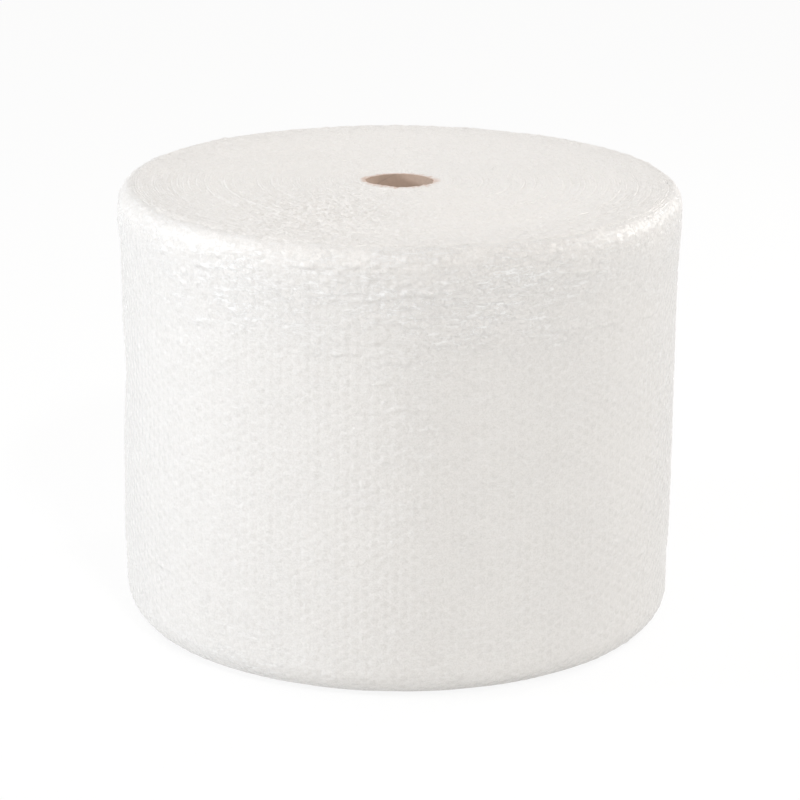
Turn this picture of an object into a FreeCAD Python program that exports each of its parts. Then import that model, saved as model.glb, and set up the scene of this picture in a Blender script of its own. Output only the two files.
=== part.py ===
import FreeCAD, Part
import math
import os
import Sketcher

os.makedirs("parts", exist_ok=True)
doc = FreeCAD.newDocument("bubble_wrap_roll")

# Driving sizes: alias, value in millimetres or degrees, meaning
SIZES = (
    ("web_width", 500, "width of the bubble film, so the height of the standing roll"),
    ("wound_radius", 313, "core axis to the outside of the last full turn"),
    ("film_step", 4, "thickness of the free sheet, the step at its loose end"),
    ("top_rounding", 20, "radius of the top rim, where the outer turns sag"),
    ("base_rounding", 32, "radius of the bottom rim, pressed round by the roll's weight"),
    ("wound_turn", 3.1, "one wound turn, measured along the radius"),
    ("turns_per_top_ridge", 5, "wound turns that one ridge of the top end stands for"),
    ("turns_per_base_ridge", 16, "wound turns that one ridge of the bottom end stands for"),
    ("ridge_foot", 2.2, "depth of a ridge's foot below the end of the roll"),
    ("ridge_crest", 0.4, "depth of a ridge's crest below the end of the roll"),
    ("rim_land", 3, "least flat left between the ridges and a rim's rounding"),
    ("core_bore", 76, "inside diameter of the cardboard tube"),
    ("core_wall", 3.5, "wall of the cardboard tube"),
    ("core_recess", 3, "depth of the tube's top below the end of the roll"),
    ("bubble_diameter", 10, "one bubble, across the corners of its eight flats"),
    ("bubble_pitch", 12.2, "from one bubble to the next across the web"),
    ("bubble_margin", 1, "clear film round a bubble at the loose end"),
    ("skin_thickness", 0.9, "flat film of the sheet at its loose end"),
    ("loose_end_angle", 62, "turn of the loose end from +X about the core axis"),
    ("overrun", 1, "how far a cut runs past the face that it opens"),
)

# Sums of those sizes that several sketches share
CORE_RADIUS = "(Sizes.core_bore / 2 + Sizes.core_wall)"
TOP_STEP = "(Sizes.wound_turn * Sizes.turns_per_top_ridge)"
BASE_STEP = "(Sizes.wound_turn * Sizes.turns_per_base_ridge)"
HIGH_RIM = "(Sizes.web_width - Sizes.top_rounding)"
SIDE_HEIGHT = "(Sizes.web_width - Sizes.top_rounding - Sizes.base_rounding)"
BUBBLE_CELL = "(Sizes.bubble_diameter + 2 * Sizes.bubble_margin)"

# How many flats the two rims' roundings and a bubble's wall are made of
TOP_RIM_FLAT_COUNT = 3
BASE_RIM_FLAT_COUNT = 3
BUBBLE_FLAT_COUNT = 8

sheet = doc.addObject("Spreadsheet::Sheet", "Sizes")
for row, (alias, size, meaning) in enumerate(SIZES, start=1):
    sheet.set(f"A{row}", alias)
    sheet.set(f"B{row}", str(size))
    sheet.set(f"C{row}", meaning)
    sheet.setAlias(f"B{row}", alias)
doc.recompute()


def value(expression):
    """Work out an expression of the sheet's sizes."""
    return float(sheet.evalExpression(expression))


def origin_part(body, role):
    """Find an origin plane or axis of a body by its role."""
    for feature in body.Origin.OriginFeatures:
        if feature.Role == role:
            return feature
    raise RuntimeError(f"{body.Label} has no {role}")


def new_sketch(body, name, role):
    """Start a sketch on one of the body's own origin planes."""
    sketch = body.newObject("Sketcher::SketchObject", name)
    sketch.AttachmentSupport = (origin_part(body, role), [""])
    sketch.MapMode = "FlatFace"
    return sketch


def bind(sketch, kind, elements, expression):
    """Add one dimension to a sketch, driven by an expression."""
    constraint = Sketcher.Constraint(kind, *elements, value(expression))
    index = sketch.addConstraint(constraint)
    sketch.setExpression(f"Constraints[{index}]", expression)


def place_point(sketch, point, corner):
    """Fix a point of a sketch by its distances from the two sketch axes."""
    for kind, axis, distance in zip(("DistanceX", "DistanceY"), (-2, -1), corner):
        if distance == "0":
            sketch.addConstraint(Sketcher.Constraint("PointOnObject", *point, axis))
        else:
            bind(sketch, kind, (-1, 1, *point), distance)


def draw_loop(sketch, corners):
    """Draw a closed outline whose corners are pairs of expressions, across and up."""
    points = [FreeCAD.Vector(value(across), value(up), 0) for across, up in corners]
    sides = []
    for index, start in enumerate(points):
        end = points[(index + 1) % len(points)]
        sides.append(sketch.addGeometry(Part.LineSegment(start, end), False))
    for index, corner in enumerate(corners):
        meeting = Sketcher.Constraint("Coincident", sides[index - 1], 2, sides[index], 1)
        sketch.addConstraint(meeting)
        place_point(sketch, (sides[index], 1), corner)


def draw_axis(sketch, first, second):
    """Add the construction line that a profile turns about."""
    points = [FreeCAD.Vector(value(across), value(up), 0) for across, up in (first, second)]
    line = sketch.addGeometry(Part.LineSegment(*points), True)
    place_point(sketch, (line, 1), first)
    place_point(sketch, (line, 2), second)
    return (sketch, ["Axis0"])


def revolve(body, kind, name, sketch, axis, angle, backwards=False):
    """Turn a sketch about its construction line, to add or to cut."""
    feature = body.newObject(kind, name)
    feature.Profile = sketch
    feature.ReferenceAxis = axis
    feature.Reversed = backwards
    feature.setExpression("Angle", angle)
    return feature


def two_half_turns(body, kind, name, step, draw):
    """Wind a profile once round as a spiral, from half turns about two centres.

    The first half turn lies on +Y. The second lies on -Y about a centre half a step
    along X, so it meets the first on -X and ends one whole step outside it on +X.
    draw gets the sketch, the place of its axis and how far the profile stands out.
    """
    for half, backwards in (("first", False), ("second", True)):
        sketch = new_sketch(body, f"{name}_{half}_outline", "XZ_Plane")
        centre = f"({step} / 2)" if backwards else "0"
        draw(sketch, centre, step if backwards else "0")
        axis = draw_axis(sketch, (centre, "0"), (centre, "Sizes.web_width"))
        revolve(body, kind, f"{name}_{half}_half", sketch, axis, "180", backwards)


def rim(side, level, inwards, radius, flats):
    """Corners of a rim's rounding, from the side of the roll on to its end face.

    inwards is "-" where the rest of the roll lies below the level, and "+" above it.
    """
    corners = []
    for step in range(flats):
        angle = math.radians(90 * step / flats)
        across = f"{side} - {1 - math.cos(angle):.6f} * {radius}"
        corners.append((across, f"{level} {inwards} {1 - math.sin(angle):.6f} * {radius}"))
    corners.append((f"{side} - {radius}", level))
    return corners


def draw_wall(sketch, centre, outset):
    """Half the section of the wound film, solid to its axis, with its rounded rims."""
    side = f"(Sizes.wound_radius + {outset})"
    corners = [
        (centre, "0"),
        *reversed(rim(side, "0", "+", "Sizes.base_rounding", BASE_RIM_FLAT_COUNT)),
        *rim(side, "Sizes.web_width", "-", "Sizes.top_rounding", TOP_RIM_FLAT_COUNT),
        (centre, "Sizes.web_width"),
    ]
    draw_loop(sketch, corners)


def draw_ridges(sketch, outset, rim_rounding, step, foot, crest, beyond):
    """Saw teeth cut into an end face: each turn rises outwards to a crest, then drops.

    There are as many ridges as fit between the core and the rim where the spiral is widest.
    """
    land = f"(Sizes.wound_radius - {rim_rounding} - Sizes.rim_land - {step})"
    count = int(value(f"({land} - {CORE_RADIUS}) / {step}"))
    first = f"({CORE_RADIUS} + {outset})"
    corners = [(first, beyond)]
    for ridge in range(count):
        corners.append((f"{first} + {ridge} * {step}", foot))
        corners.append((f"{first} + {ridge + 1} * {step}", crest))
    corners.append((f"{first} + {count} * {step}", beyond))
    draw_loop(sketch, corners)


def draw_top_ridges(sketch, centre, outset):
    """The turns as they show in the top end."""
    foot = "Sizes.web_width - Sizes.ridge_foot"
    crest = "Sizes.web_width - Sizes.ridge_crest"
    beyond = "Sizes.web_width + Sizes.overrun"
    draw_ridges(sketch, outset, "Sizes.top_rounding", TOP_STEP, foot, crest, beyond)


def draw_base_ridges(sketch, centre, outset):
    """The turns as they show in the end that the roll stands on."""
    foot, crest, beyond = "Sizes.ridge_foot", "Sizes.ridge_crest", "-Sizes.overrun"
    draw_ridges(sketch, outset, "Sizes.base_rounding", BASE_STEP, foot, crest, beyond)


def draw_circle(sketch, radius):
    """Draw a circle about the core axis."""
    circle = Part.Circle(FreeCAD.Vector(0, 0, 0), FreeCAD.Vector(0, 0, 1), value(radius))
    element = sketch.addGeometry(circle, False)
    sketch.addConstraint(Sketcher.Constraint("Coincident", element, 3, -1, 1))
    bind(sketch, "Radius", (element,), radius)


def make_gap():
    """The space under the flat film at the loose end, with its bubbles left standing.

    It lies between the sheet's flat outer film and the turn beneath, from rim to rim,
    and reaches one row of bubbles in from the edge.
    """
    body = doc.addObject("PartDesign::Body", "loose_end_gap")
    inner = "Sizes.wound_radius"
    outer = "(Sizes.wound_radius + Sizes.film_step - Sizes.skin_thickness)"
    corners = [
        (inner, "Sizes.base_rounding"),
        (outer, "Sizes.base_rounding"),
        (outer, HIGH_RIM),
        (inner, HIGH_RIM),
    ]
    slot = new_sketch(body, "gap_outline", "XZ_Plane")
    draw_loop(slot, corners)
    pad = body.newObject("PartDesign::Pad", "gap")
    pad.Profile = slot
    pad.setExpression("Length", BUBBLE_CELL)

    bubble = new_sketch(body, "bubble_outline", "YZ_Plane")
    bubble.setExpression("AttachmentOffset.Base.z", inner)
    corners = []
    for flat in range(BUBBLE_FLAT_COUNT):
        angle = 2 * math.pi * (flat + 0.5) / BUBBLE_FLAT_COUNT
        inwards = f"{math.cos(angle) / 2:.6f} * Sizes.bubble_diameter - {BUBBLE_CELL} / 2"
        upwards = f"{math.sin(angle) / 2:.6f} * Sizes.bubble_diameter + {BUBBLE_CELL} / 2"
        corners.append((inwards, f"{upwards} + Sizes.base_rounding"))
    draw_loop(bubble, corners)
    pocket = body.newObject("PartDesign::Pocket", "bubble")
    pocket.Profile = bubble
    pocket.Type = "ThroughAll"
    pocket.Reversed = True
    row = body.newObject("PartDesign::LinearPattern", "bubble_row")
    row.Originals = [pocket]
    row.Direction = (origin_part(body, "Z_Axis"), [""])
    count = int(value(f"({SIDE_HEIGHT} - {BUBBLE_CELL}) / Sizes.bubble_pitch")) + 1
    row.Occurrences = count
    row.setExpression("Length", f"{count - 1} * Sizes.bubble_pitch")
    body.Tip = row
    return body


def make_film_roll():
    """The bubble film: all its turns are one solid, wound tight round the tube."""
    body = doc.addObject("PartDesign::Body", "film_roll")
    two_half_turns(body, "PartDesign::Revolution", "wall", "Sizes.film_step", draw_wall)
    doc.recompute()
    two_half_turns(body, "PartDesign::Groove", "top_ridges", TOP_STEP, draw_top_ridges)
    two_half_turns(body, "PartDesign::Groove", "base_ridges", BASE_STEP, draw_base_ridges)
    bore = new_sketch(body, "bore_outline", "XY_Plane")
    draw_circle(bore, CORE_RADIUS)
    pocket = body.newObject("PartDesign::Pocket", "bore")
    pocket.Profile = bore
    pocket.Type = "ThroughAll"
    pocket.Midplane = True
    gap = make_gap()
    doc.recompute()
    cut = body.newObject("PartDesign::Boolean", "loose_end")
    cut.Type = "Cut"
    cut.setObjects([gap])
    body.Tip = cut
    return body


def make_core_tube():
    """The spiral-wound cardboard tube that the film is wound on."""
    body = doc.addObject("PartDesign::Body", "core_tube")
    ring = new_sketch(body, "tube_outline", "XY_Plane")
    draw_circle(ring, CORE_RADIUS)
    draw_circle(ring, "Sizes.core_bore / 2")
    pad = body.newObject("PartDesign::Pad", "tube")
    pad.Profile = ring
    pad.setExpression("Length", "Sizes.web_width - Sizes.core_recess")
    return body


film_roll = make_film_roll()
core_tube = make_core_tube()
film_roll.setExpression("Placement.Rotation.Angle", "Sizes.loose_end_angle")
doc.recompute()

for item in doc.Objects:
    if "Invalid" in item.State or "Error" in item.State:
        raise RuntimeError(f"{item.Name} did not compute: {item.State}")

for body in (film_roll, core_tube):
    shape = body.Shape
    if shape.isNull() or not shape.isValid() or len(shape.Solids) != 1:
        raise RuntimeError(f"{body.Label} is not one sound solid")

for body in (film_roll, core_tube):
    body.Shape.exportStep(f"parts/{body.Label}.step")
    print(f"{body.Label}: {body.Shape.Volume / 1e9:.5f} cubic metres")
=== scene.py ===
import math

import bpy
import numpy as np
from bpy.props import FloatProperty, FloatVectorProperty, IntProperty, PointerProperty
from mathutils import Matrix, Vector


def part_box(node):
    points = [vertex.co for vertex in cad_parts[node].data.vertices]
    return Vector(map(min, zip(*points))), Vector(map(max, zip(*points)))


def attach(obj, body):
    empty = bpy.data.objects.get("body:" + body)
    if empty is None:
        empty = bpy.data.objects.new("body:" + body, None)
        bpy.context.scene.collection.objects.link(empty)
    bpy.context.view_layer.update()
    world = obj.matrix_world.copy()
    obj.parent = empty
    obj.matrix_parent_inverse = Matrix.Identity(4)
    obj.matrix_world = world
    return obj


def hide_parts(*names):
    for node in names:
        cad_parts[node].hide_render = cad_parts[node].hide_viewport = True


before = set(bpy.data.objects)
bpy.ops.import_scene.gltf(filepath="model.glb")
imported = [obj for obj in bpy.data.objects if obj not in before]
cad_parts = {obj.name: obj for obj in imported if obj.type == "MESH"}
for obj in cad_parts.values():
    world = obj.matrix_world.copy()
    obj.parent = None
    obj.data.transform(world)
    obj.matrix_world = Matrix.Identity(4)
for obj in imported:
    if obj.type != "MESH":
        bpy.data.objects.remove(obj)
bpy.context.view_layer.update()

bl_info = {
    "name": "Bubble Wrap Roll",
    "version": (1, 0, 0),
    "blender": (4, 5, 0),
    "location": "3D View > Sidebar > Bubble Wrap",
    "description": "Builds a roll of bubble film on its cardboard tube, standing on end",
    "category": "Add Mesh",
}

MM = 0.001
ROLL_LOW, ROLL_HIGH = (Vector(corner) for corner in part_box("film_roll"))
TUBE_LOW, TUBE_HIGH = (Vector(corner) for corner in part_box("core_tube"))
WOUND_RADIUS = min(-ROLL_LOW.x, -ROLL_LOW.y, ROLL_HIGH.x, ROLL_HIGH.y)
WEB_WIDTH = ROLL_HIGH.z - ROLL_LOW.z
TUBE_RADIUS = (TUBE_HIGH.x - TUBE_LOW.x) / 2

PHOTO_SIZE = 800
SENSOR_MM = 36.0

# Points of the outermost turn from one bubble to the next
POINTS_PER_BUBBLE = 6
# The flat film is drawn this thick at the loose end
SKIN = 0.5 * MM
FILM_NAME = "LDPE bubble film, blown and embossed"
# The random values behind one pattern of noise repeat after this many rows
NOISE_ROWS = 256

# Patterns over the outermost turn: seed, swells round the roll and size up it in metres
ROUND_PATTERNS = {
    "bulge": (3, 14, 0.10),
    "ripple": (4, 44, 0.036),
    "crinkle": (8, 328, 0.005),
    "pleat": (9, 151, 0.02),
    "crinkle_patch": (10, 40, 0.04),
    "top_cut": (41, 61, 1.0),
    "top_cut_fine": (42, 310, 1.0),
    "base_cut": (43, 61, 1.0),
    "crease_glint_patch": (51, 63, 0.016),
}
# Patterns over the two ends: seed, size in metres and where each starts in its noise
FLAT_PATTERNS = {
    "crush": (24, 5 * MM, 60),
    "crush_fine": (25, 5 / 1.9 * MM, 120),
    "swell": (28, 0.075, 40),
    "swell_fine": (22, 0.018, 40),
    "board_edge": (61, 2.5 * MM, 60),
}
# Seeds of the other patterns and draws
SEEDS = {
    "bubble": 11, "crest_fine": 20, "crest": 21, "turn_swell": 23,
    "lap": 26, "lap_fine": 27, "collar": 28,
    "crease": 31, "crease_wiggle": 32, "crease_sway": 33, "crease_break": 34,
    "end_cut": 61, "end_cut_fine": 62, "end_lift": 63,
}

# Rings that stand proud of the slack waist: height and half height in metres, and how
# far each stands out in millimetres
RINGS = (
    (0.462, 0.034, 2.6),
    (0.170, 0.070, 1.2),
)
# Dents and bulges of the soft roll: direction from +X in degrees, height, half width
# and half height in metres, and how far each stands out in millimetres
DENTS = (
    (178, 0.285, 0.10, 0.035, -2.2),
    (192, 0.470, 0.12, 0.030, 2.0),
    (82, 0.490, 0.09, 0.030, 2.5),
    (355, 0.115, 0.10, 0.030, 1.2),
    (182, 0.110, 0.08, 0.025, 1.2),
    (330, 0.480, 0.10, 0.030, -1.4),
    (140, 0.330, 0.12, 0.060, 1.6),
    (35, 0.250, 0.13, 0.050, -1.6),
)
# Where the film was folded by hand, which also sets where folds carry painted glints:
# direction from +X in degrees, height in metres, half width in degrees, half height in
# metres, and how much of it carries creases and painted glints
FOLDS_AND_GLINTS = (
    (287, 0.435, 22, 0.050, 1.0),
    (240, 0.440, 20, 0.045, 0.8),
    (235, 0.020, 12, 0.030, 0.6),
    (348, 0.350, 14, 0.170, 0.6),
    (150, 0.420, 25, 0.070, 0.8),
    (60, 0.300, 30, 0.120, 0.5),
)
# The crumpled patch on the top: its middle and its half widths in metres
HANDLED = (-0.08, -0.16, 0.07, 0.09)

# The lamps: name, setting of its power, size, colour and place
LAMPS = (
    ("key_lamp", "key_power", 0.45, "#F4F9FF", (-2.81, -0.62, 1.10)),
    ("top_lamp", "top_power", 0.60, "#FFFDFB", (1.30, -4.05, 4.20)),
    ("rim_lamp", "rim_power", 0.60, "#FFFDFB", (2.38, 1.27, 1.40)),
)
# Every lamp points at the middle of the roll
ROLL_MIDDLE = (0, 0, 0.25)
FLOOR_REACH = 12.0


def linear(hex_colour):
    """Turn an sRGB hex colour into the linear values that shaders use."""
    channels = [int(hex_colour[i:i + 2], 16) / 255 for i in (1, 3, 5)]
    return [c / 12.92 if c <= 0.04045 else ((c + 0.055) / 1.055) ** 2.4 for c in channels]


class FilmSettings(bpy.types.PropertyGroup):
    """Sizes and colours of the bubble film"""

    wound_radius: FloatProperty(
        name="Wound Radius", description="Core axis to the start of the outermost turn",
        default=WOUND_RADIUS, unit="LENGTH")
    web_width: FloatProperty(
        name="Web Width", description="Width of the film, the height of the standing roll",
        default=WEB_WIDTH, unit="LENGTH")
    film_step: FloatProperty(
        name="Film Step", description="Thickness of the free sheet at the loose end",
        default=4 * MM, unit="LENGTH")
    wound_turn: FloatProperty(
        name="Wound Turn", description="Thickness of one turn in the tight roll",
        default=3.1 * MM, unit="LENGTH")
    loose_end_angle: FloatProperty(
        name="Loose End", description="Where the loose end lies, turned from +X",
        default=math.radians(62), subtype="ANGLE")
    top_rounding: FloatProperty(
        name="Top Rounding", description="Radius of the top rim",
        default=20 * MM, unit="LENGTH")
    base_rounding: FloatProperty(
        name="Base Rounding", description="Radius of the bottom rim",
        default=32 * MM, unit="LENGTH")
    bubble_diameter: FloatProperty(
        name="Bubble", description="Diameter of one bubble",
        default=10 * MM, unit="LENGTH")
    bubble_pitch: FloatProperty(
        name="Bubble Pitch", description="From one bubble to the next across the web",
        default=12.2 * MM, unit="LENGTH")
    bubble_margin: FloatProperty(
        name="Bubble Margin", description="Flat film between a cut edge and the first bubble",
        default=1 * MM, unit="LENGTH")
    bubble_columns: IntProperty(
        name="Bubble Columns", description="Columns of bubbles in the outermost turn",
        default=188, min=8)
    pillow_height: FloatProperty(
        name="Pillow Height", description="How far the flat film bulges over a bubble",
        default=0.6 * MM, unit="LENGTH")
    crease_height: FloatProperty(
        name="Crease Height", description="Height of the long creases round the roll",
        default=2.0 * MM, unit="LENGTH")
    crease_count: IntProperty(
        name="Creases", description="How many creases run round the outermost turn",
        default=240, min=0)
    flap_lift: FloatProperty(
        name="Flap Lift", description="How far the loose end stands off the roll",
        default=1.4 * MM, unit="LENGTH")
    core_lap: FloatProperty(
        name="Core Lap", description="How far the first turn laps over the end of the tube",
        default=3.3 * MM, unit="LENGTH")
    edge_height: FloatProperty(
        name="Edge Height", description="Unevenness of the turns' edges",
        default=1.5 * MM, unit="LENGTH")
    web_colour: FloatVectorProperty(
        name="Web Colour", description="Welded film between the bubbles",
        subtype="COLOR", default=linear("#F0EEEC"))
    bubble_colour: FloatVectorProperty(
        name="Bubble Colour", description="Film over a bubble, with the roll behind it",
        subtype="COLOR", default=linear("#E2E0DD"))
    edge_colour: FloatVectorProperty(
        name="Edge Colour", description="Cut edges of the turns",
        subtype="COLOR", default=linear("#FBF8F5"))
    lap_colour: FloatVectorProperty(
        name="Lap Colour", description="Film over the end of the brown tube",
        subtype="COLOR", default=linear("#DDC2B2"))
    # Colour of painted glints on folds and creases, with the white that hard folds leave
    fold_glint_colour: FloatVectorProperty(
        name="Fold Glint Colour", description="White lines that hard folds leave in the film",
        subtype="COLOR", default=linear("#FFFFFF"))


class TubeSettings(bpy.types.PropertyGroup):
    """Colours of the cardboard tube"""

    liner_colour: FloatVectorProperty(
        name="Liner Colour", description="Inner ply of the tube",
        subtype="COLOR", default=linear("#D4BEAE"))
    cut_colour: FloatVectorProperty(
        name="Cut Colour", description="Cut ends of the plies",
        subtype="COLOR", default=linear("#DFC6B4"))
    ply_width: FloatProperty(
        name="Ply Width", description="Width of the paper strip that the tube is wound from",
        default=95 * MM, unit="LENGTH")


class StageSettings(bpy.types.PropertyGroup):
    """Camera, lamps and floor"""

    camera_distance: FloatProperty(
        name="Camera Distance", description="Camera to the core axis, along the floor",
        default=3.150, unit="LENGTH")
    camera_height: FloatProperty(
        name="Camera Height", description="Camera above the floor",
        default=1.222, unit="LENGTH")
    camera_pitch: FloatProperty(
        name="Camera Pitch", description="How far the camera looks down",
        default=0.3021, subtype="ANGLE")
    camera_roll: FloatProperty(
        name="Camera Roll", description="How far the camera leans",
        default=0.0101, subtype="ANGLE")
    focal_pixels: FloatProperty(
        name="Focal Length", description="Focal length in pixels of the photograph",
        default=2870.9)
    axis_pixel: FloatProperty(
        name="Axis Pixel", description="Where the roll's axis crosses the middle row",
        default=397.6)
    ambient_colour: FloatVectorProperty(
        name="Ambient Colour", description="Light from all round",
        subtype="COLOR", default=linear("#FFFDFA"))
    ambient_strength: FloatProperty(
        name="Ambient Strength", description="Strength of the light from all round",
        default=0.53)
    key_power: FloatProperty(
        name="Key Power", description="Power of the lamp on the left, in watts",
        default=36.0)
    top_power: FloatProperty(
        name="Top Power", description="Power of the small lamp above the camera, in watts",
        default=97.0)
    rim_power: FloatProperty(
        name="Rim Power", description="Power of the lamp on the right, in watts",
        default=24.5)
    floor_colour: FloatVectorProperty(
        name="Floor Colour", description="Paper that the roll stands on",
        subtype="COLOR", default=linear("#F4F4F3"))
    floor_white: FloatProperty(
        name="Floor White", description="How much of the floor is seen as plain white",
        default=0.88, subtype="FACTOR")


# Sizes worked out from the settings


def turn_length(film):
    """Length of the outermost turn."""
    return 2 * math.pi * film.wound_radius


def side_length(film):
    """Length of the side's section, from one end of the roll to the other."""
    rims = (film.base_rounding + film.top_rounding) * math.pi / 2
    return rims + film.web_width - film.base_rounding - film.top_rounding


# Noise and meshes


def soft_noise(across, up, seed, swells=NOISE_ROWS):
    """Smooth noise from -1 to 1, one swell for each unit of its coordinates.

    It repeats across after that many swells, so a pattern can close round the roll.
    """
    values = np.random.default_rng(seed).uniform(-1, 1, (swells, NOISE_ROWS))
    column, row = np.floor(across).astype(int), np.floor(up).astype(int)
    s, t = across - column, up - row
    s, t = s * s * (3 - 2 * s), t * t * (3 - 2 * t)
    left, right = column % swells, (column + 1) % swells
    low, high = row % NOISE_ROWS, (row + 1) % NOISE_ROWS
    bottom = values[left, low] * (1 - s) + values[right, low] * s
    top = values[left, high] * (1 - s) + values[right, high] * s
    return bottom * (1 - t) + top * t


def round_noise(turned, along, pattern):
    """Smooth noise over the outermost turn, which closes round the roll."""
    seed, swells, size = ROUND_PATTERNS[pattern]
    return soft_noise(turned * swells, along / size, seed, swells)


def flat_noise(x, y, pattern):
    """Smooth noise over the two ends."""
    seed, size, shift = FLAT_PATTERNS[pattern]
    return soft_noise(x / size + shift, y / size + shift, seed)


def ridged(noise, sharpness):
    """Turn smooth noise into narrow ridges along its zero lines."""
    return (1 - np.abs(noise)) ** sharpness


def smooth_step(low, high, x):
    """Rise from 0 to 1 between two values."""
    t = np.clip((x - low) / (high - low), 0, 1)
    return t * t * (3 - 2 * t)


def points_at(radius, angle, level):
    """Points at a radius and angle round the core axis and a level above the floor."""
    return np.stack([radius * np.cos(angle), radius * np.sin(angle), level], axis=-1)


def grid_faces(columns, rows):
    """Quads of a grid whose vertices run row by row within each column."""
    column, row = np.meshgrid(np.arange(columns - 1), np.arange(rows - 1), indexing="ij")
    corner = (column * rows + row).ravel()
    return np.stack([corner, corner + rows, corner + rows + 1, corner + 1], axis=1)


def build_piece(name, points, faces, material, smooth=True, uv=None, marks=None):
    """Make one piece of the film from arrays of points and quads, and ride it on the root.

    Marks are named values on the points, which the materials read.
    """
    mesh = bpy.data.meshes.new(name)
    mesh.vertices.add(len(points))
    mesh.vertices.foreach_set("co", np.asarray(points, dtype=np.float32).ravel())
    mesh.loops.add(faces.size)
    mesh.loops.foreach_set("vertex_index", faces.ravel().astype(np.int32))
    mesh.polygons.add(len(faces))
    starts = np.arange(len(faces), dtype=np.int32) * faces.shape[1]
    mesh.polygons.foreach_set("loop_start", starts)
    mesh.polygons.foreach_set("use_smooth", np.full(len(faces), smooth))
    if uv is not None:
        layer = mesh.uv_layers.new(name="Film")
        layer.uv.foreach_set("vector", uv[faces.ravel()].astype(np.float32).ravel())
    for mark, values in (marks or {}).items():
        attribute = mesh.attributes.new(mark, "FLOAT", "POINT")
        attribute.data.foreach_set("value", values.ravel().astype(np.float32))
    mesh.update(calc_edges=True)
    mesh.validate()
    mesh.materials.append(material)
    piece = bpy.data.objects.new(name, mesh)
    bpy.context.scene.collection.objects.link(piece)
    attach(piece, "root")
    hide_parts("film_roll")


# Materials


def add_node(tree, kind, settings=None, inputs=None):
    """Add one shader node with its settings; each input is a value or another's socket."""
    node = tree.nodes.new("ShaderNode" + kind)
    for key, setting in (settings or {}).items():
        setattr(node, key, setting)
    for key, entry in (inputs or {}).items():
        if isinstance(entry, bpy.types.NodeSocket):
            tree.links.new(entry, node.inputs[key])
        else:
            node.inputs[key].default_value = entry
    return node


def start_material(name):
    """Start a node material and return it with its tree and its surface shader.

    In all of them a noise's Scale counts its swells in a metre: 520 gives specks of 2 mm.
    """
    material = bpy.data.materials.new(name)
    material.use_nodes = True
    tree = material.node_tree
    return material, tree, tree.nodes["Principled BSDF"]


def fold_lines(tree, surface, scale, width):
    """Return 1 along short curled folds and 0 between them."""
    folds = add_node(tree, "TexNoise", inputs={
        "Vector": surface, "Scale": scale, "Detail": 3.0, "Roughness": 0.6, "Distortion": 0.8})
    return add_node(tree, "Math", {"operation": "COMPARE"},
                    {0: folds.outputs[0], 1: 0.5, 2: width}).outputs[0]


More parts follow.
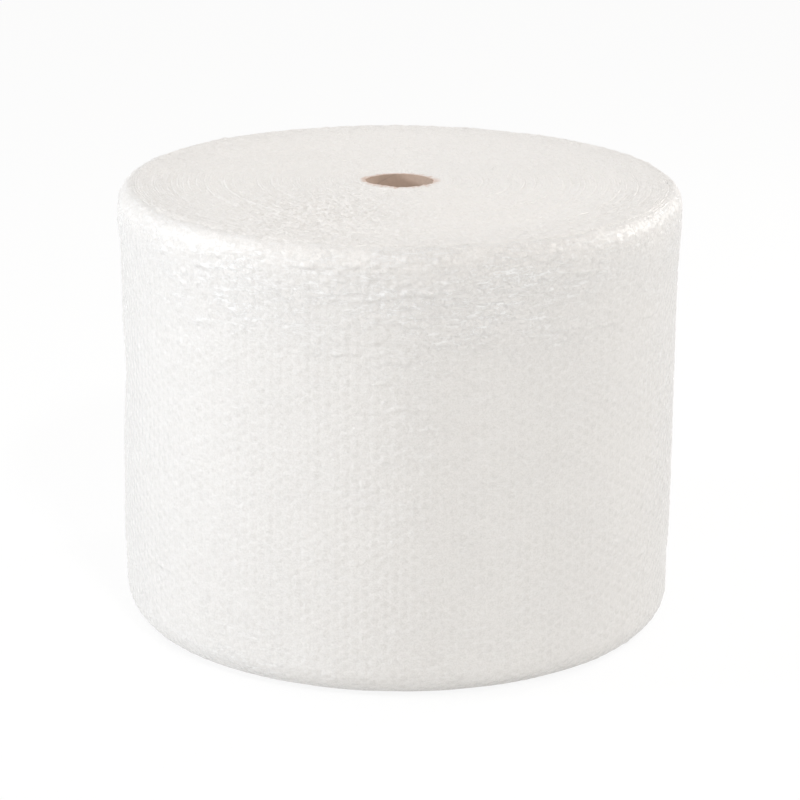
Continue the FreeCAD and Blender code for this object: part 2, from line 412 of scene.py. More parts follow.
def film_material(film):
    """Low-density polyethylene film, blown thin, embossed with bubbles and welded flat.

    Clear film over many air cells turns milky: the welded web between the bubbles looks
    whiter than the bubbles, whose walls draw a fine ring. It is glossy, and small
    crinkles break that gloss into glints. Its colour holds painted light and shade for
    small wrinkles, and its folds and creases are painted white as painted glints, with
    the white that hard folds leave.
    """
    material, tree, shader = start_material(FILM_NAME)
    surface = add_node(tree, "NewGeometry").outputs["Position"]
    # How much crease the film has; the same mark sets where glints are painted
    creased = add_node(tree, "Attribute", {"attribute_name": "creased"}).outputs["Fac"]
    gathered = add_node(tree, "Attribute", {"attribute_name": "gathered"}).outputs["Fac"]

    # The UV map is in millimetres, with a bubble at its origin. The columns stand
    # staggered, so the nearest bubble is in one or the other of two square patterns.
    place = add_node(tree, "UVMap", {"uv_map": "Film"}).outputs[0]
    column_width = turn_length(film) / film.bubble_columns / MM
    half_pitch = film.bubble_pitch / 2 / MM
    high, low = (column_width, half_pitch, 1), (-column_width, -half_pitch, -1)
    stepped = add_node(tree, "VectorMath", {"operation": "ADD"}, {0: place, 1: high})
    even = add_node(tree, "VectorMath", {"operation": "WRAP"}, {0: place, 1: high, 2: low})
    odd = add_node(tree, "VectorMath", {"operation": "WRAP"},
                   {0: stepped.outputs[0], 1: high, 2: low})
    near_even = add_node(tree, "VectorMath", {"operation": "LENGTH"}, {0: even.outputs[0]})
    near_odd = add_node(tree, "VectorMath", {"operation": "LENGTH"}, {0: odd.outputs[0]})
    distance = add_node(tree, "Math", {"operation": "MINIMUM"},
                        {0: near_even.outputs["Value"], 1: near_odd.outputs["Value"]}).outputs[0]
    radius = film.bubble_diameter / 2 / MM
    # A bubble's crown darkens slowly inward from its wall, which draws a ring 0.9 mm wide
    disc = add_node(tree, "MapRange", {"interpolation_type": "SMOOTHSTEP"},
                    {0: distance, 1: radius + 0.5, 2: radius - 2.3, 3: 0.0, 4: 1.0})
    ring = add_node(tree, "Math", {"operation": "COMPARE"}, {0: distance, 1: radius - 0.4, 2: 0.45})

    # Each bubble holds a little more or less air, so it looks lighter or darker
    chance = add_node(tree, "TexNoise", inputs={
        "Vector": surface, "Scale": 62.0, "Detail": 2.0, "Roughness": 0.6})
    depth = add_node(tree, "MapRange",
                     inputs={0: chance.outputs[0], 1: 0.36, 2: 0.66, 3: 0.10, 4: 0.48})
    shade = add_node(tree, "Math", {"operation": "MULTIPLY"},
                     {0: disc.outputs[0], 1: depth.outputs[0]})
    # Specks of 2 mm are painted light and shade of the web's own small wrinkles
    speck = add_node(tree, "TexNoise", inputs={
        "Vector": surface, "Scale": 520.0, "Detail": 3.0, "Roughness": 0.75})
    shade = add_node(tree, "Math", {"operation": "MULTIPLY_ADD"},
                     {0: speck.outputs[0], 1: 3.4, 2: shade.outputs[0]})

    # Short curled folds of 4 to 8 mm, and long ones that run round the roll
    short = fold_lines(tree, surface, 170.0, 0.018)
    stretched = add_node(tree, "VectorMath", {"operation": "MULTIPLY"},
                         {0: place, 1: (1 / 34, 1 / 6.5, 1)})
    runs = add_node(tree, "TexNoise", inputs={
        "Vector": stretched.outputs[0], "Scale": 1.0, "Detail": 4.0, "Roughness": 0.62,
        "Distortion": 0.5})
    run_line = add_node(tree, "Math", {"operation": "COMPARE"},
                        {0: runs.outputs[0], 1: 0.56, 2: 0.026})
    line = add_node(tree, "Math", {"operation": "MAXIMUM"},
                    {0: short, 1: run_line.outputs[0]})
    # On crease-marked film the fold lines are painted glints; they bump the film too
    line = add_node(tree, "Math", {"operation": "MULTIPLY"},
                    {0: line.outputs[0], 1: creased}).outputs[0]
    # Crease-marked film is painted lighter, a painted highlight where creases catch the light
    shade = add_node(tree, "Math", {"operation": "MULTIPLY_ADD"},
                     {0: creased, 1: -0.85, 2: shade.outputs[0]})
    # The constant takes the specks back to a small mean
    shade = add_node(tree, "Math", {"operation": "SUBTRACT"}, {0: shade.outputs[0], 1: 1.38})
    milky = add_node(tree, "Mix", {"data_type": "RGBA"}, {
        0: shade.outputs[0], 6: (*film.web_colour, 1), 7: (*film.bubble_colour, 1)})
    # Gathered over the rim, the film lies in many layers and looks like the cut edges
    layers = add_node(tree, "MapRange",
                      inputs={0: speck.outputs[0], 1: 0.25, 2: 0.65, 3: 0.2, 4: 1.0})
    layered = add_node(tree, "Mix", {"data_type": "RGBA"}, {
        0: layers.outputs[0], 6: (*film.bubble_colour, 1), 7: (*film.edge_colour, 1)})
    colour = add_node(tree, "Mix", {"data_type": "RGBA"}, {
        0: gathered, 6: milky.outputs[2], 7: layered.outputs[2]})
    # The fold lines turn the colour white: painted glints
    colour = add_node(tree, "Mix", {"data_type": "RGBA"}, {
        0: line, 6: colour.outputs[2], 7: (*film.fold_glint_colour, 1)})
    tree.links.new(colour.outputs[2], shader.inputs["Base Color"])

    # Crinkles of about 3 mm, and finer ones of about 1 mm that only the gloss shows
    crinkle = add_node(tree, "TexNoise", inputs={
        "Vector": surface, "Scale": 330.0, "Detail": 4.0, "Roughness": 0.62})
    relief = add_node(tree, "Math", {"operation": "MULTIPLY_ADD"},
                      {0: ring.outputs[0], 1: 0.12, 2: crinkle.outputs[0]})
    relief = add_node(tree, "Math", {"operation": "MULTIPLY_ADD"},
                      {0: line, 1: 0.5, 2: relief.outputs[0]})
    bump = add_node(tree, "Bump",
                    inputs={"Strength": 0.85, "Distance": 1.0 * MM, "Height": relief.outputs[0]})
    tree.links.new(bump.outputs[0], shader.inputs["Normal"])
    dull = add_node(tree, "MapRange",
                    inputs={0: crinkle.outputs[0], 1: 0.3, 2: 0.7, 3: 0.09, 4: 0.26})
    dull = add_node(tree, "Math", {"operation": "MULTIPLY_ADD"},
                    {0: gathered, 1: 0.18, 2: dull.outputs[0]})
    tree.links.new(dull.outputs[0], shader.inputs["Roughness"])
    shader.inputs["IOR"].default_value = 1.51
    return material


def edge_material(film):
    """Cut edges of the same film, slit by a blade on the winder and packed turn on turn.

    Seen end on, each edge is a bright hairline and the air cells between are dim, so the
    end looks like fine frosted fibres. The true line is 0.05 mm; here it is as wide as
    the facets of the turns. Next to the tube the brown board shows through the film.
    """
    material, tree, shader = start_material("LDPE film edges, slit and wound")
    surface = add_node(tree, "NewGeometry").outputs["Position"]
    # How much crease the edges have; the same mark sets where glints are painted
    creased = add_node(tree, "Attribute", {"attribute_name": "creased"}).outputs["Fac"]
    board = add_node(tree, "Attribute", {"attribute_name": "over_board"}).outputs["Fac"]
    speck = add_node(tree, "TexNoise", inputs={
        "Vector": surface, "Scale": 420.0, "Detail": 4.0, "Roughness": 0.7})
    cloud = add_node(tree, "TexNoise", inputs={"Vector": surface, "Scale": 14.0, "Detail": 2.0})
    # Fold lines on crease-marked places are painted white, as painted glints; they bump the edges
    # too
    line = add_node(tree, "Math", {"operation": "MULTIPLY"},
                    {0: fold_lines(tree, surface, 150.0, 0.02), 1: creased})
    light = add_node(tree, "Math", {"operation": "MULTIPLY_ADD"},
                     {0: cloud.outputs[0], 1: 0.3, 2: line.outputs[0]})
    light = add_node(tree, "Math", {"operation": "MULTIPLY_ADD"},
                     {0: speck.outputs[0], 1: 2.4, 2: light.outputs[0]})
    light = add_node(tree, "Math", {"operation": "SUBTRACT"}, {0: light.outputs[0], 1: 0.40})
    colour = add_node(tree, "Mix", {"data_type": "RGBA"}, {
        0: light.outputs[0], 6: (*film.bubble_colour, 1), 7: (*film.edge_colour, 1)})
    tinted = add_node(tree, "Mix", {"data_type": "RGBA"}, {
        0: board, 6: colour.outputs[2], 7: (*film.lap_colour, 1)})
    tree.links.new(tinted.outputs[2], shader.inputs["Base Color"])
    relief = add_node(tree, "Math", {"operation": "MULTIPLY_ADD"},
                      {0: line.outputs[0], 1: 1.2, 2: speck.outputs[0]})
    bump = add_node(tree, "Bump",
                    inputs={"Strength": 0.8, "Distance": 0.9 * MM, "Height": relief.outputs[0]})
    tree.links.new(bump.outputs[0], shader.inputs["Normal"])
    shader.inputs["Roughness"].default_value = 0.3
    shader.inputs["IOR"].default_value = 1.51
    return material


def board_material(tube):
    """Recycled core board, wound in a spiral from glued paper plies and cut to length.

    Its plies leave a helical butt seam, its fibres give a dull mottled brown, and the
    cut end is paler than the liner.
    """
    material, tree, shader = start_material("Core board, spiral wound")
    surface = add_node(tree, "NewGeometry").outputs["Position"]
    split = add_node(tree, "SeparateXYZ", inputs={0: surface})
    angle = add_node(tree, "Math", {"operation": "ARCTAN2"},
                     {0: split.outputs[1], 1: split.outputs[0]})
    around = add_node(tree, "Math", {"operation": "DIVIDE"}, {0: angle.outputs[0], 1: 2 * math.pi})
    helix = add_node(tree, "Math", {"operation": "MULTIPLY_ADD"},
                     {0: split.outputs[2], 1: 1 / tube.ply_width, 2: around.outputs[0]})
    ply = add_node(tree, "Math", {"operation": "FRACT"}, {0: helix.outputs[0]})
    seam = add_node(tree, "Math", {"operation": "COMPARE"}, {0: ply.outputs[0], 1: 0.5, 2: 0.008})
    fibre = add_node(tree, "TexNoise", inputs={
        "Vector": surface, "Scale": 260.0, "Detail": 5.0, "Roughness": 0.65})
    mottle = add_node(tree, "TexNoise", inputs={"Vector": surface, "Scale": 45.0, "Detail": 2.0})
    rough = add_node(tree, "Math", {"operation": "ADD"},
                     {0: fibre.outputs[0], 1: mottle.outputs[0]})
    rough = add_node(tree, "Math", {"operation": "MULTIPLY_ADD"},
                     {0: seam.outputs[0], 1: -0.4, 2: rough.outputs[0]})
    grey = add_node(tree, "MapRange",
                    inputs={0: rough.outputs[0], 1: -0.1, 2: 1.7, 3: 0.70, 4: 1.08})
    cut = add_node(tree, "Math", {"operation": "GREATER_THAN"},
                   {0: split.outputs[2], 1: TUBE_HIGH.z - 0.2 * MM})
    base = add_node(tree, "Mix", {"data_type": "RGBA"}, {
        0: cut.outputs[0], 6: (*tube.liner_colour, 1), 7: (*tube.cut_colour, 1)})
    colour = add_node(tree, "Mix", {"data_type": "RGBA", "blend_type": "MULTIPLY"}, {
        0: 1.0, 6: base.outputs[2], 7: grey.outputs[0]})
    tree.links.new(colour.outputs[2], shader.inputs["Base Color"])
    bump = add_node(tree, "Bump",
                    inputs={"Strength": 0.4, "Distance": 0.3 * MM, "Height": rough.outputs[0]})
    tree.links.new(bump.outputs[0], shader.inputs["Normal"])
    shader.inputs["Roughness"].default_value = 0.85
    return material


# The outermost turn


def side_section(film, along):
    """Inset, height and outward direction at a distance along the side's section.

    The section starts on the bottom end, goes round the bottom rim, up the side and
    round the top rim on to the top end.
    """
    base_arc = film.base_rounding * math.pi / 2
    top_arc = film.top_rounding * math.pi / 2
    side = film.web_width - film.base_rounding - film.top_rounding
    base_turn = np.clip(along / base_arc, 0, 1) * math.pi / 2
    top_turn = np.clip((along - base_arc - side) / top_arc, 0, 1) * math.pi / 2
    climbed = np.clip(along - base_arc, 0, side)
    inset = film.base_rounding * (1 - np.sin(base_turn))
    inset = inset + film.top_rounding * (1 - np.cos(top_turn))
    height = film.base_rounding * (1 - np.cos(base_turn)) + climbed
    height = height + film.top_rounding * np.sin(top_turn)
    outward = np.where(along < base_arc, np.sin(base_turn), np.cos(top_turn))
    upward = np.where(along < base_arc, -np.cos(base_turn), np.sin(top_turn))
    return inset, height, outward, upward


def section_rows(film):
    """How many points the outermost turn has along its section."""
    return int(side_length(film) / film.bubble_pitch * POINTS_PER_BUBBLE) + 1


def first_bubble(film):
    """The first bubble's distance from the loose end, and its place on the section."""
    margin = film.bubble_margin + film.bubble_diameter / 2
    return margin, film.base_rounding * math.pi / 2 + margin


def bubble_cells(film, turned, along):
    """Bubble columns round the roll and rows up its section, counted from whole bubbles."""
    margin, first_row = first_bubble(film)
    across = turned * film.bubble_columns + margin / turn_length(film) * film.bubble_columns
    return across, (along - first_row) / film.bubble_pitch


def bubble_pillows(film, turned, along):
    """Height of the flat film over its bubbles, each a little different."""
    across, up = bubble_cells(film, turned, along)
    column = np.round(across)
    stagger = (column % 2) / 2
    row = np.floor(up - stagger + 0.5)
    beside = (across - column) * turn_length(film) / film.bubble_columns
    above = (up - row - stagger) * film.bubble_pitch
    reach = film.bubble_diameter / 2 + 0.25 * MM
    dome = np.clip(1 - (beside**2 + above**2) / reach**2, 0, 1)
    rows = 64
    chance = np.random.default_rng(SEEDS["bubble"]).uniform(0, 1, (3, film.bubble_columns, rows))
    bubble = (column.astype(int) % film.bubble_columns, row.astype(int) % rows)
    height = film.pillow_height * (0.3 + 1.1 * chance[0][bubble])
    # Each one also leans a little to some side
    lean = beside * (chance[1][bubble] - 0.5) + above * (chance[2][bubble] - 0.5)
    return dome**0.8 * height + 0.16 * lean * smooth_step(0, 0.3, dome)


def long_creases(film, turned, along):
    """Creases that run round the roll, most of them under the top rim and on the front."""
    draw = np.random.default_rng(SEEDS["crease"])
    front = (math.radians(270) - film.loose_end_angle) / (2 * math.pi) + 0.015
    rim = side_length(film) - film.top_rounding * math.pi / 2
    relief = np.zeros_like(along)
    for index in range(film.crease_count):
        on_front = index < film.crease_count // 3
        middle = draw.normal(front, 0.045) if on_front else draw.uniform(0.02, 0.98)
        reach = draw.uniform(0.006, 0.032) if on_front else draw.uniform(0.005, 0.020)
        if on_front:
            level = rim + 0.014 - draw.exponential(0.055)
        elif index % 3:
            level = rim - draw.exponential(0.045) + 0.012
        else:
            level = draw.uniform(0.03, rim)
        slope = draw.normal(0, 0.035)
        width = draw.uniform(1.6, 2.5) * MM
        strength = draw.uniform(0.4, 1.0)
        near = np.abs(turned - middle) < reach
        if not near.any():
            continue
        beside = turned[near] - middle
        length = turned[near] * turn_length(film)
        own_row = np.full_like(length, index)
        wiggle = 1.6 * soft_noise(length / (7 * MM), own_row, SEEDS["crease_wiggle"])
        sway = 2.8 * soft_noise(length / (26 * MM), own_row, SEEDS["crease_sway"])
        line = level + beside * slope * turn_length(film) + (wiggle + sway) * MM
        broken = 0.55 + 0.45 * soft_noise(length / (8 * MM), own_row, SEEDS["crease_break"])
        profile = np.exp(-((along[near] - line) / width) ** 2)
        relief[near] += strength * (1 - (beside / reach) ** 2) * broken * profile
    return relief * film.crease_height


def crease_glint_share(film, turned, along):
    """How much crease and painted glint the film has at each place, from 0 to 1."""
    height = side_section(film, along)[1]
    direction = math.degrees(film.loose_end_angle) + 360 * turned
    share = 0.22 + 0.3 * smooth_step(0.44, 0.50, height)
    for middle, level, wide, tall, amount in FOLDS_AND_GLINTS:
        away = (direction - middle + 180) % 360 - 180
        share = share + amount * np.exp(-(away / wide) ** 2 - ((height - level) / tall) ** 2)
    patches = 0.65 + 0.5 * round_noise(turned, along, "crease_glint_patch")
    return np.clip(share * patches, 0, 1)


def side_relief(film, turned, along):
    """How far the outermost turn stands off its plain section."""
    height = side_section(film, along)[1]
    length = side_length(film)
    slack = 2.2 - 0.9 * smooth_step(length - 0.024, length - 0.008, along)
    rings = sum(stand * np.exp(-((height - level) / tall) ** 2) for level, tall, stand in RINGS)
    relief = (rings - slack) * MM
    relief += round_noise(turned, along, "bulge") * 0.9 * MM
    for side, level, wide, tall, stand in DENTS:
        middle = (math.radians(side) - film.loose_end_angle) / (2 * math.pi)
        away = (turned - middle) * turn_length(film)
        relief += stand * MM * np.exp(-(away / wide) ** 2 - ((height - level) / tall) ** 2)
    relief += round_noise(turned, along, "ripple") * 0.45 * MM
    relief += long_creases(film, turned, along)
    # Short crinkles in the web between the bubbles
    crinkle = ridged(round_noise(turned, along, "crinkle"), 3) - 0.3
    patch = 0.6 + 0.4 * round_noise(turned, along, "crinkle_patch")
    relief += crinkle * patch * 0.30 * MM
    # Pleats where the film is gathered over the rims
    top_rim = smooth_step(length - 0.055, length - 0.012, along)
    base_rim = 1 - smooth_step(0.004, 0.03, along)
    pleat = ridged(round_noise(turned, along, "pleat"), 2) - 0.35
    relief += (top_rim + base_rim) * pleat * 0.9 * MM
    return relief + bubble_pillows(film, turned, along)


def side_points(film, turned, along, sink=0.0, settle=0.0):
    """Points of the outermost turn, sunk under its face or settled on the turn below."""
    # The end was cut by hand, so it is a little wavy and lifts here and there
    wavy = 2.6 * soft_noise(along / 0.085, 0.0, SEEDS["end_cut"])
    wavy = wavy + 0.8 * soft_noise(along / 0.021, 0.0, SEEDS["end_cut_fine"]) - 1.6
    reach = turned + wavy * MM / turn_length(film) * smooth_step(0.975, 1.0, turned)
    angle = film.loose_end_angle + 2 * math.pi * reach
    inset, height, outward, upward = side_section(film, along)
    lifted = 1.2 + 1.1 * soft_noise(along / 0.085, 0.0, SEEDS["end_lift"])
    lift = smooth_step(0.978, 1.0, turned) ** 2 * film.flap_lift * lifted
    lift = lift * (1 - smooth_step(side_length(film) - 0.060, side_length(film) - 0.025, along))
    stand = side_relief(film, turned, along) * (1 - settle) + lift - sink
    stand = stand - (0.3 * settle + 1.2 * settle**3) * MM
    # On the rims the loose end's last strip lies down on the turn below it
    step_out = film.film_step * (turned - settle * smooth_step(0.985, 1, turned))
    radius = film.wound_radius + step_out - inset + stand * outward
    return points_at(radius, angle, np.maximum(height + stand * upward, 0.1 * MM))


def film_piece(name, grid, points, faces, material, film):
    """Make one piece of bubble film, with millimetres from its first bubble as its UV map."""
    across, up = bubble_cells(film, *grid)
    beside = across * turn_length(film) / film.bubble_columns
    place = np.stack([beside, up * film.bubble_pitch], axis=-1)
    inward = side_length(film) - grid[1]
    marks = {
        "creased": crease_glint_share(film, *grid),
        "gathered": 1 - smooth_step(0.015, 0.060, inward),
    }
    build_piece(name, points.reshape(-1, 3), faces, material,
                uv=place.reshape(-1, 2) / MM, marks=marks)


class BUBBLE_OT_outer_turn(bpy.types.Operator):
    """Wind the outermost turn of film, with its pillows, creases and gathered rims"""

    bl_idname = "bubble.outer_turn"
    bl_label = "Outer Turn"

    def execute(self, context):
        film = context.scene.bubble_film
        material = film_material(film)
        steps = film.bubble_columns * POINTS_PER_BUBBLE
        rows = section_rows(film)
        quarters = 4
        starts = [steps * quarter // quarters for quarter in range(quarters + 1)]
        # The turn starts a little way under the loose end
        starts[0] = -9
        for quarter in range(quarters):
            turned = np.arange(starts[quarter], starts[quarter + 1] + 1) / steps
            # Where the film ends on the two flat ends, it is a little ragged
            top_cut = 5 + 2.5 * round_noise(turned, 0.0, "top_cut")
            top_cut = top_cut + 2.0 * round_noise(turned, 0.0, "top_cut_fine")
            base_cut = 16 + 2 * round_noise(turned, 0.0, "base_cut")
            low = base_cut[:, None] * MM
            high = side_length(film) - top_cut[:, None] * MM
            along = low + (high - low) * np.linspace(0, 1, rows)
            grid = (np.broadcast_to(turned[:, None], along.shape), along)
            top_settle = smooth_step(high - 0.010, high, along)
            base_settle = 1 - smooth_step(low, low + 0.008, along)
            points = side_points(film, *grid, settle=top_settle + base_settle)
            faces = grid_faces(len(turned), rows)
            film_piece(f"outer_turn_{quarter + 1}", grid, points, faces, material, film)
        return {"FINISHED"}


class BUBBLE_OT_loose_end(bpy.types.Operator):
    """Fold the sheet's thickness and its last bubbles under the loose end"""

    bl_idname = "bubble.loose_end"
    bl_label = "Loose End"

    def execute(self, context):
        film = context.scene.bubble_film
        material = bpy.data.materials[FILM_NAME]
        self.add_underside(film, material)
        self.add_bubbles(film, material)
        return {"FINISHED"}

    def add_underside(self, film, material):
        # From the cut edge inward, and last down to the turn below
        back = np.array([0, 0, 2, 5, 8, 11, 12.5, 13.5]) * MM
        sink = np.full(len(back), SKIN)
        sink[0] = 0
        sink[-1] = film.film_step + film.flap_lift
        rows = section_rows(film)
        along = np.linspace(20 * MM, side_length(film) - 12 * MM, rows)
        turned, along = np.meshgrid(1 - back / turn_length(film), along, indexing="ij")
        points = side_points(film, turned, along, sink=sink[:, None])
        faces = grid_faces(len(back), rows)[:, ::-1]
        film_piece("loose_end_underside", (turned, along), points, faces, material, film)

    def add_bubbles(self, film, material):
        around = 16
        # The section of one bubble, from its weld to the middle of its crown
        reach = np.array([1.0, 0.99, 0.93, 0.75, 0.42, 0.0]) * film.bubble_diameter / 2
        drop = np.array([0, 0.38, 0.72, 0.92, 0.99, 1.0])
        drop = drop * (film.film_step - SKIN + 0.5 * film.flap_lift)
        margin, first_row = first_bubble(film)
        count = int((side_length(film) - 10 * MM - first_row) / film.bubble_pitch) + 1
        turn = np.arange(around + 1) / around * 2 * math.pi
        rings = np.arange(len(reach))
        row, step, ring = np.meshgrid(np.arange(count), turn, rings, indexing="ij")
        along = first_row + row * film.bubble_pitch + reach[ring] * np.sin(step)
        turned = 1 - (margin + reach[ring] * np.cos(step)) / turn_length(film)
        points = side_points(film, turned, along, sink=SKIN + drop[ring])
        one = grid_faces(around + 1, len(reach))
        corner = np.arange(count)[:, None, None] * (around + 1) * len(reach)
        faces = (one[None] + corner).reshape(-1, 4)
        film_piece("loose_end_bubbles", (turned, along), points, faces, material, film)


# The turns' edges on both ends


def handled(x, y):
    """How much the top was crumpled by hand at each place, from 0 to 1."""
    middle_x, middle_y, wide, deep = HANDLED
    return np.exp(-((x - middle_x) / wide) ** 2 - ((y - middle_y) / deep) ** 2)


def turns_within(film, radius):
    """How many whole turns lie between the tube and a radius."""
    return int((radius - TUBE_RADIUS) / film.wound_turn)


def turn_spiral(film, turned, lapped):
    """Radius, angle and length along the spiral of turns, counted from the tube."""
    angle = film.loose_end_angle + 2 * math.pi * turned
    radius = TUBE_RADIUS + turned * film.wound_turn
    length = 2 * math.pi * (TUBE_RADIUS * turned + film.wound_turn * turned**2 / 2)
    # The innermost turn laps over the end of the tube, with a ragged edge
    lap = (1 - smooth_step(0.9, 1.3, turned)) * lapped
    ragged = soft_noise(turned * 37, 0.0, SEEDS["lap"])
    ragged = ragged + 0.9 * soft_noise(turned * 90, 0.0, SEEDS["lap_fine"])
    radius = radius - lap * (film.core_lap + turned * film.wound_turn + ragged * MM)
    return radius, angle, length


def crushed(radius, angle):
    """Unevenness of the edges where cut bubbles have collapsed, from about -0.6 to 0.6."""
    x, y = radius * np.cos(angle), radius * np.sin(angle)
    return 0.36 * flat_noise(x, y, "crush") + 0.26 * flat_noise(x, y, "crush_fine")


def end_face(film, spiral, turned, on_top):
    """Level of one end at each place of its spiral, before each edge's own unevenness."""
    radius, angle, length = spiral
    x, y = radius * np.cos(angle), radius * np.sin(angle)
    rounding = film.top_rounding if on_top else film.base_rounding
    # The rim is as far out as the outermost turn, which steps down at the loose end
    share = turned % 1
    step_out = film.film_step * (share - smooth_step(0.985, 1, share))
    rim = film.wound_radius - rounding + step_out
    past = np.clip(radius - rim, 0, rounding * 0.97)
    rim_drop = rounding - np.sqrt(rounding**2 - past**2)
    under = 0.8 * smooth_step(rim - 0.004, rim + 0.010, radius)
    swell = 0.42 * soft_noise(length / 0.11, turned * 0.12, SEEDS["turn_swell"])
    swell = swell + 0.7 * flat_noise(x, y, "swell") + 0.5 * flat_noise(x, y, "swell_fine")
    swell = swell * (1 - 0.7 * smooth_step(rim - 0.025, rim - 0.003, radius))
    # Against the tube the edges stand up on the front and hang down on the back
    facing = np.where(np.sin(angle) < 0, 1.6, 2.7) * -np.sin(angle)
    collar = (1 - smooth_step(0.9, 2.8, turned)) * facing * on_top
    collar = collar * (1 + 0.2 * soft_noise(turned * 9, 0.0, SEEDS["collar"]))
    drop = rim_drop + (under - swell - collar) * MM
    return film.web_width - 0.2 * MM - drop if on_top else 1.6 * MM + drop


def end_marks(film, points, rounding):
    """What the edges' material reads: how much crease and painted glint they carry, and whether
    board shows.
    """
    x, y = points[:, 0], points[:, 1]
    radius = np.hypot(x, y)
    to_rim = film.wound_radius - rounding - radius
    # The crumpled patch and a band at the rim carry more crease and painted glints, the band most
    # on the front
    near_rim = (1 - smooth_step(-0.002, 0.060, to_rim)) * np.where(y < 0, 1, 0.6)
    creased = 0.12 + 0.7 * handled(x, y) + 0.45 * near_rim
    beyond = (radius - TUBE_RADIUS) / film.wound_turn + 0.5 * flat_noise(x, y, "board_edge")
    return {
        "creased": np.clip(creased, 0, 1),
        "over_board": 0.9 * (1 - smooth_step(-0.2, 0.9, beyond)),
    }


def wound_end(film, name, material, turns, steps, on_top):
    """Build the spiral of film edges on one end, from one turn to another.

    Each turn is a valley and a crest. The crest leans to and fro, and both dip where
    the blade cut through bubbles.
    """
    first, last = turns
    count = (last - first + 1) * steps + 1
    crests = count - steps
    turned = first + np.arange(count) / steps
    spiral = turn_spiral(film, turned, on_top)
    radius, angle, length = spiral
    outer = turn_spiral(film, turned + 1, on_top)[0]
    face = end_face(film, spiral, turned, on_top)
    wander = 0.5 * soft_noise(length / 0.0061, turned, SEEDS["crest"])
    wander = wander + 0.4 * soft_noise(length / 0.0028, turned, SEEDS["crest_fine"])
    crest_radius = (radius + outer) / 2 + wander * MM
    crumpled = on_top * handled(radius * np.cos(angle), radius * np.sin(angle))
    crush = film.edge_height * (1 + 1.2 * crumpled) * (1 if on_top else -1)
    valley = points_at(radius, angle, face - crush * (0.60 + crushed(radius, angle)))
    crest = points_at(crest_radius, angle, face - crush * (0.40 + crushed(crest_radius, angle)))
    points = np.concatenate([valley, crest[:crests]])
    n = np.arange(crests - 1)
    rising = np.stack([n, count + n, count + n + 1, n + 1], axis=1)
    falling = np.stack([count + n, n + steps, n + steps + 1, count + n + 1], axis=1)
    faces = np.concatenate([rising, falling])
    if on_top and first == 0:
        # The lap rests on the tube, and the innermost turn's face goes down to it
        points[:, 2] = np.maximum(points[:, 2], TUBE_HIGH.z + 0.15 * MM)
        n = np.arange(steps + 1)
        foot = points_at(radius[n] + 1.0 * MM, angle[n], np.full(len(n), TUBE_HIGH.z))
        n = n[:-1]
        inside = np.stack([len(points) + n, n, n + 1, len(points) + n + 1], axis=1)
        points = np.concatenate([points, foot])
        faces = np.concatenate([faces, inside])
    if not on_top:
        faces = faces[:, ::-1]
    rounding = film.top_rounding if on_top else film.base_rounding
    build_piece(name, points, faces, material, smooth=False,
                marks=end_marks(film, points, rounding))


class BUBBLE_OT_turn_edges(bpy.types.Operator):
    """Wind the edges of all the turns on the top and the bottom end"""

    bl_idname = "bubble.turn_edges"
    bl_label = "Turn Edges"

    def execute(self, context):
        film = context.scene.bubble_film
        material = edge_material(film)
        # The film of the outermost turn covers the last few millimetres of both ends
        inner = turns_within(film, 0.12)
        outer = turns_within(film, film.wound_radius - 5 * MM)
        base = turns_within(film, film.wound_radius - 20 * MM)
        middle = (inner + outer) // 2
        wound_end(film, "top_edges_inner", material, (0, inner), 400, True)
        wound_end(film, "top_edges_middle", material, (inner, middle), 800, True)
        wound_end(film, "top_edges_outer", material, (middle, outer), 800, True)
        wound_end(film, "base_edges", material, (0, base), 240, False)
        return {"FINISHED"}


class BUBBLE_OT_core_tube(bpy.types.Operator):
    """Finish the cardboard tube as spiral-wound core board"""

    bl_idname = "bubble.core_tube"
    bl_label = "Core Tube"

    def execute(self, context):
        material = board_material(context.scene.bubble_tube)
        for slot in bpy.data.objects["core_tube"].material_slots:
            slot.material = material
        return {"FINISHED"}


# Stage


def seen_directly(tree):
    """Return 1 where a ray comes from the camera, a mirror or clear glass."""
    path = add_node(tree, "LightPath")
    direct = add_node(tree, "Math", {"operation": "MAXIMUM"},
                      {0: path.outputs["Is Camera Ray"], 1: path.outputs["Is Glossy Ray"]})
    return add_node(tree, "Math", {"operation": "MAXIMUM"},
                    {0: direct.outputs[0], 1: path.outputs["Is Transmission Ray"]}).outputs[0]


def floor_material(stage):
    """Matt white paper sweep, seen nearly as white as the backdrop, that keeps a shadow."""
    material, tree, shader = start_material("Paper sweep, matt white")
    shader.inputs["Base Color"].default_value = (*stage.floor_colour, 1)
    shader.inputs["Roughness"].default_value = 0.9
    white = add_node(tree, "Emission", inputs={0: (1, 1, 1, 1), 1: 1.022})
    share = add_node(tree, "Math", {"operation": "MULTIPLY"},
                     {0: seen_directly(tree), 1: stage.floor_white})
    mixed = add_node(tree, "MixShader", inputs={
        0: share.outputs[0], 1: shader.outputs[0], 2: white.outputs[0]})
    tree.links.new(mixed.outputs[0], tree.nodes["Material Output"].inputs["Surface"])
    return material


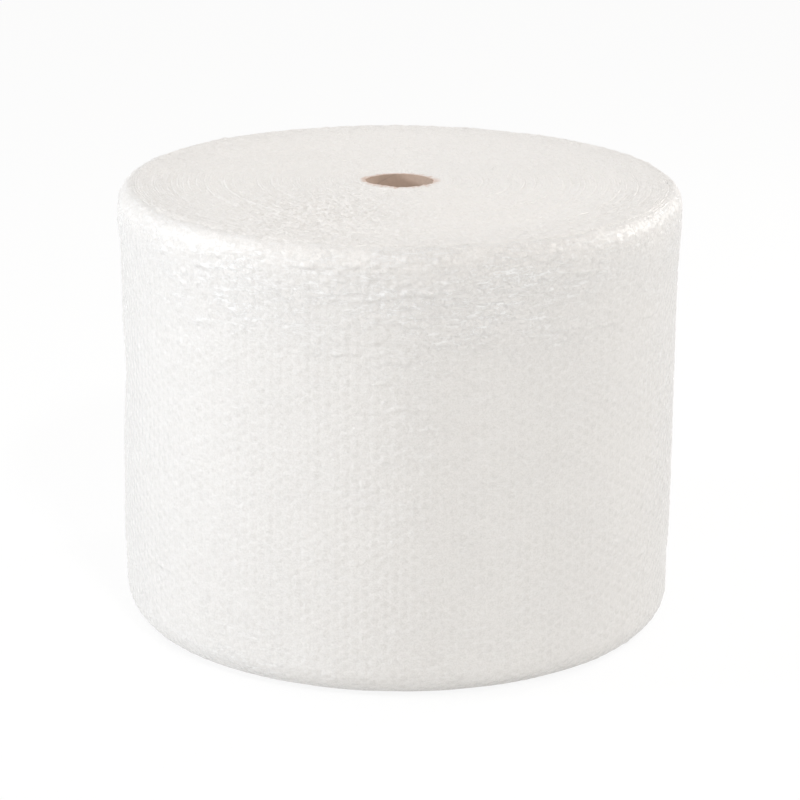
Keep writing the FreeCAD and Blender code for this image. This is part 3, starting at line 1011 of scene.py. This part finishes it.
class BUBBLE_OT_stage(bpy.types.Operator):
    """Set up the floor, the soft light and the camera"""

    bl_idname = "bubble.stage"
    bl_label = "Stage"

    def execute(self, context):
        stage = context.scene.bubble_stage
        self.add_floor(context, stage)
        self.add_world(context, stage)
        for name, power, size, colour, place in LAMPS:
            self.add_lamp(context, name, getattr(stage, power), size, colour, place)
        self.add_camera(context, stage)
        context.scene.view_settings.view_transform = "Standard"
        return {"FINISHED"}

    def add_floor(self, context, stage):
        reach = FLOOR_REACH
        mesh = bpy.data.meshes.new("floor")
        corners = [(-reach, -reach, 0), (reach, -reach, 0), (reach, reach, 0), (-reach, reach, 0)]
        mesh.from_pydata(corners, [], [(0, 1, 2, 3)])
        mesh.materials.append(floor_material(stage))
        floor = bpy.data.objects.new("floor", mesh)
        context.scene.collection.objects.link(floor)

    def add_world(self, context, stage):
        world = bpy.data.worlds.new("White studio")
        context.scene.world = world
        world.use_nodes = True
        tree = world.node_tree
        tree.nodes.clear()
        ambient = add_node(tree, "Background",
                           inputs={0: (*stage.ambient_colour, 1), 1: stage.ambient_strength})
        backdrop = add_node(tree, "Background", inputs={0: (1, 1, 1, 1), 1: 1.0})
        mixed = add_node(tree, "MixShader", inputs={
            0: seen_directly(tree), 1: ambient.outputs[0], 2: backdrop.outputs[0]})
        add_node(tree, "OutputWorld", inputs={0: mixed.outputs[0]})

    def add_lamp(self, context, name, power, size, colour, place):
        data = bpy.data.lights.new(name, "AREA")
        data.energy = power
        data.size = size
        data.color = linear(colour)
        lamp = bpy.data.objects.new(name, data)
        lamp.location = place
        toward = Vector(ROLL_MIDDLE) - Vector(place)
        lamp.rotation_euler = toward.to_track_quat("-Z", "Y").to_euler()
        context.scene.collection.objects.link(lamp)

    def add_camera(self, context, stage):
        data = bpy.data.cameras.new("photo_camera")
        data.sensor_width = SENSOR_MM
        data.lens = stage.focal_pixels / PHOTO_SIZE * SENSOR_MM
        data.clip_end = 100
        camera = bpy.data.objects.new("photo_camera", data)
        context.scene.collection.objects.link(camera)
        pan = (stage.axis_pixel - PHOTO_SIZE / 2) / stage.focal_pixels
        turn = Matrix.Rotation(pan, 4, "Z")
        turn = turn @ Matrix.Rotation(math.pi / 2 - stage.camera_pitch, 4, "X")
        turn = turn @ Matrix.Rotation(stage.camera_roll, 4, "Z")
        place = Matrix.Translation((0, -stage.camera_distance, stage.camera_height))
        camera.matrix_world = place @ turn
        context.scene.camera = camera


class BUBBLE_PT_panel(bpy.types.Panel):
    """List the roll's operators and settings"""

    bl_label = "Bubble Wrap Roll"
    bl_idname = "BUBBLE_PT_panel"
    bl_space_type = "VIEW_3D"
    bl_region_type = "UI"
    bl_category = "Bubble Wrap"

    def draw(self, context):
        layout = self.layout
        for operator in OPERATORS:
            layout.operator(operator.bl_idname)
        for settings in (context.scene.bubble_film, context.scene.bubble_tube,
                         context.scene.bubble_stage):
            box = layout.box()
            for name in settings.__annotations__:
                box.prop(settings, name)


OPERATORS = (
    BUBBLE_OT_outer_turn,
    BUBBLE_OT_loose_end,
    BUBBLE_OT_turn_edges,
    BUBBLE_OT_core_tube,
    BUBBLE_OT_stage,
)
SETTINGS = {
    "bubble_film": FilmSettings,
    "bubble_tube": TubeSettings,
    "bubble_stage": StageSettings,
}


def register():
    for settings in SETTINGS.values():
        bpy.utils.register_class(settings)
    for name, settings in SETTINGS.items():
        setattr(bpy.types.Scene, name, PointerProperty(type=settings))
    for operator in OPERATORS:
        bpy.utils.register_class(operator)
    bpy.utils.register_class(BUBBLE_PT_panel)


def unregister():
    bpy.utils.unregister_class(BUBBLE_PT_panel)
    for operator in reversed(OPERATORS):
        bpy.utils.unregister_class(operator)
    for name in SETTINGS:
        delattr(bpy.types.Scene, name)
    for settings in reversed(SETTINGS.values()):
        bpy.utils.unregister_class(settings)


def main():
    register()
    for operator in OPERATORS:
        group, name = operator.bl_idname.split(".")
        getattr(getattr(bpy.ops, group), name)()
    bpy.context.view_layer.update()


if __name__ == "__main__":
    main()
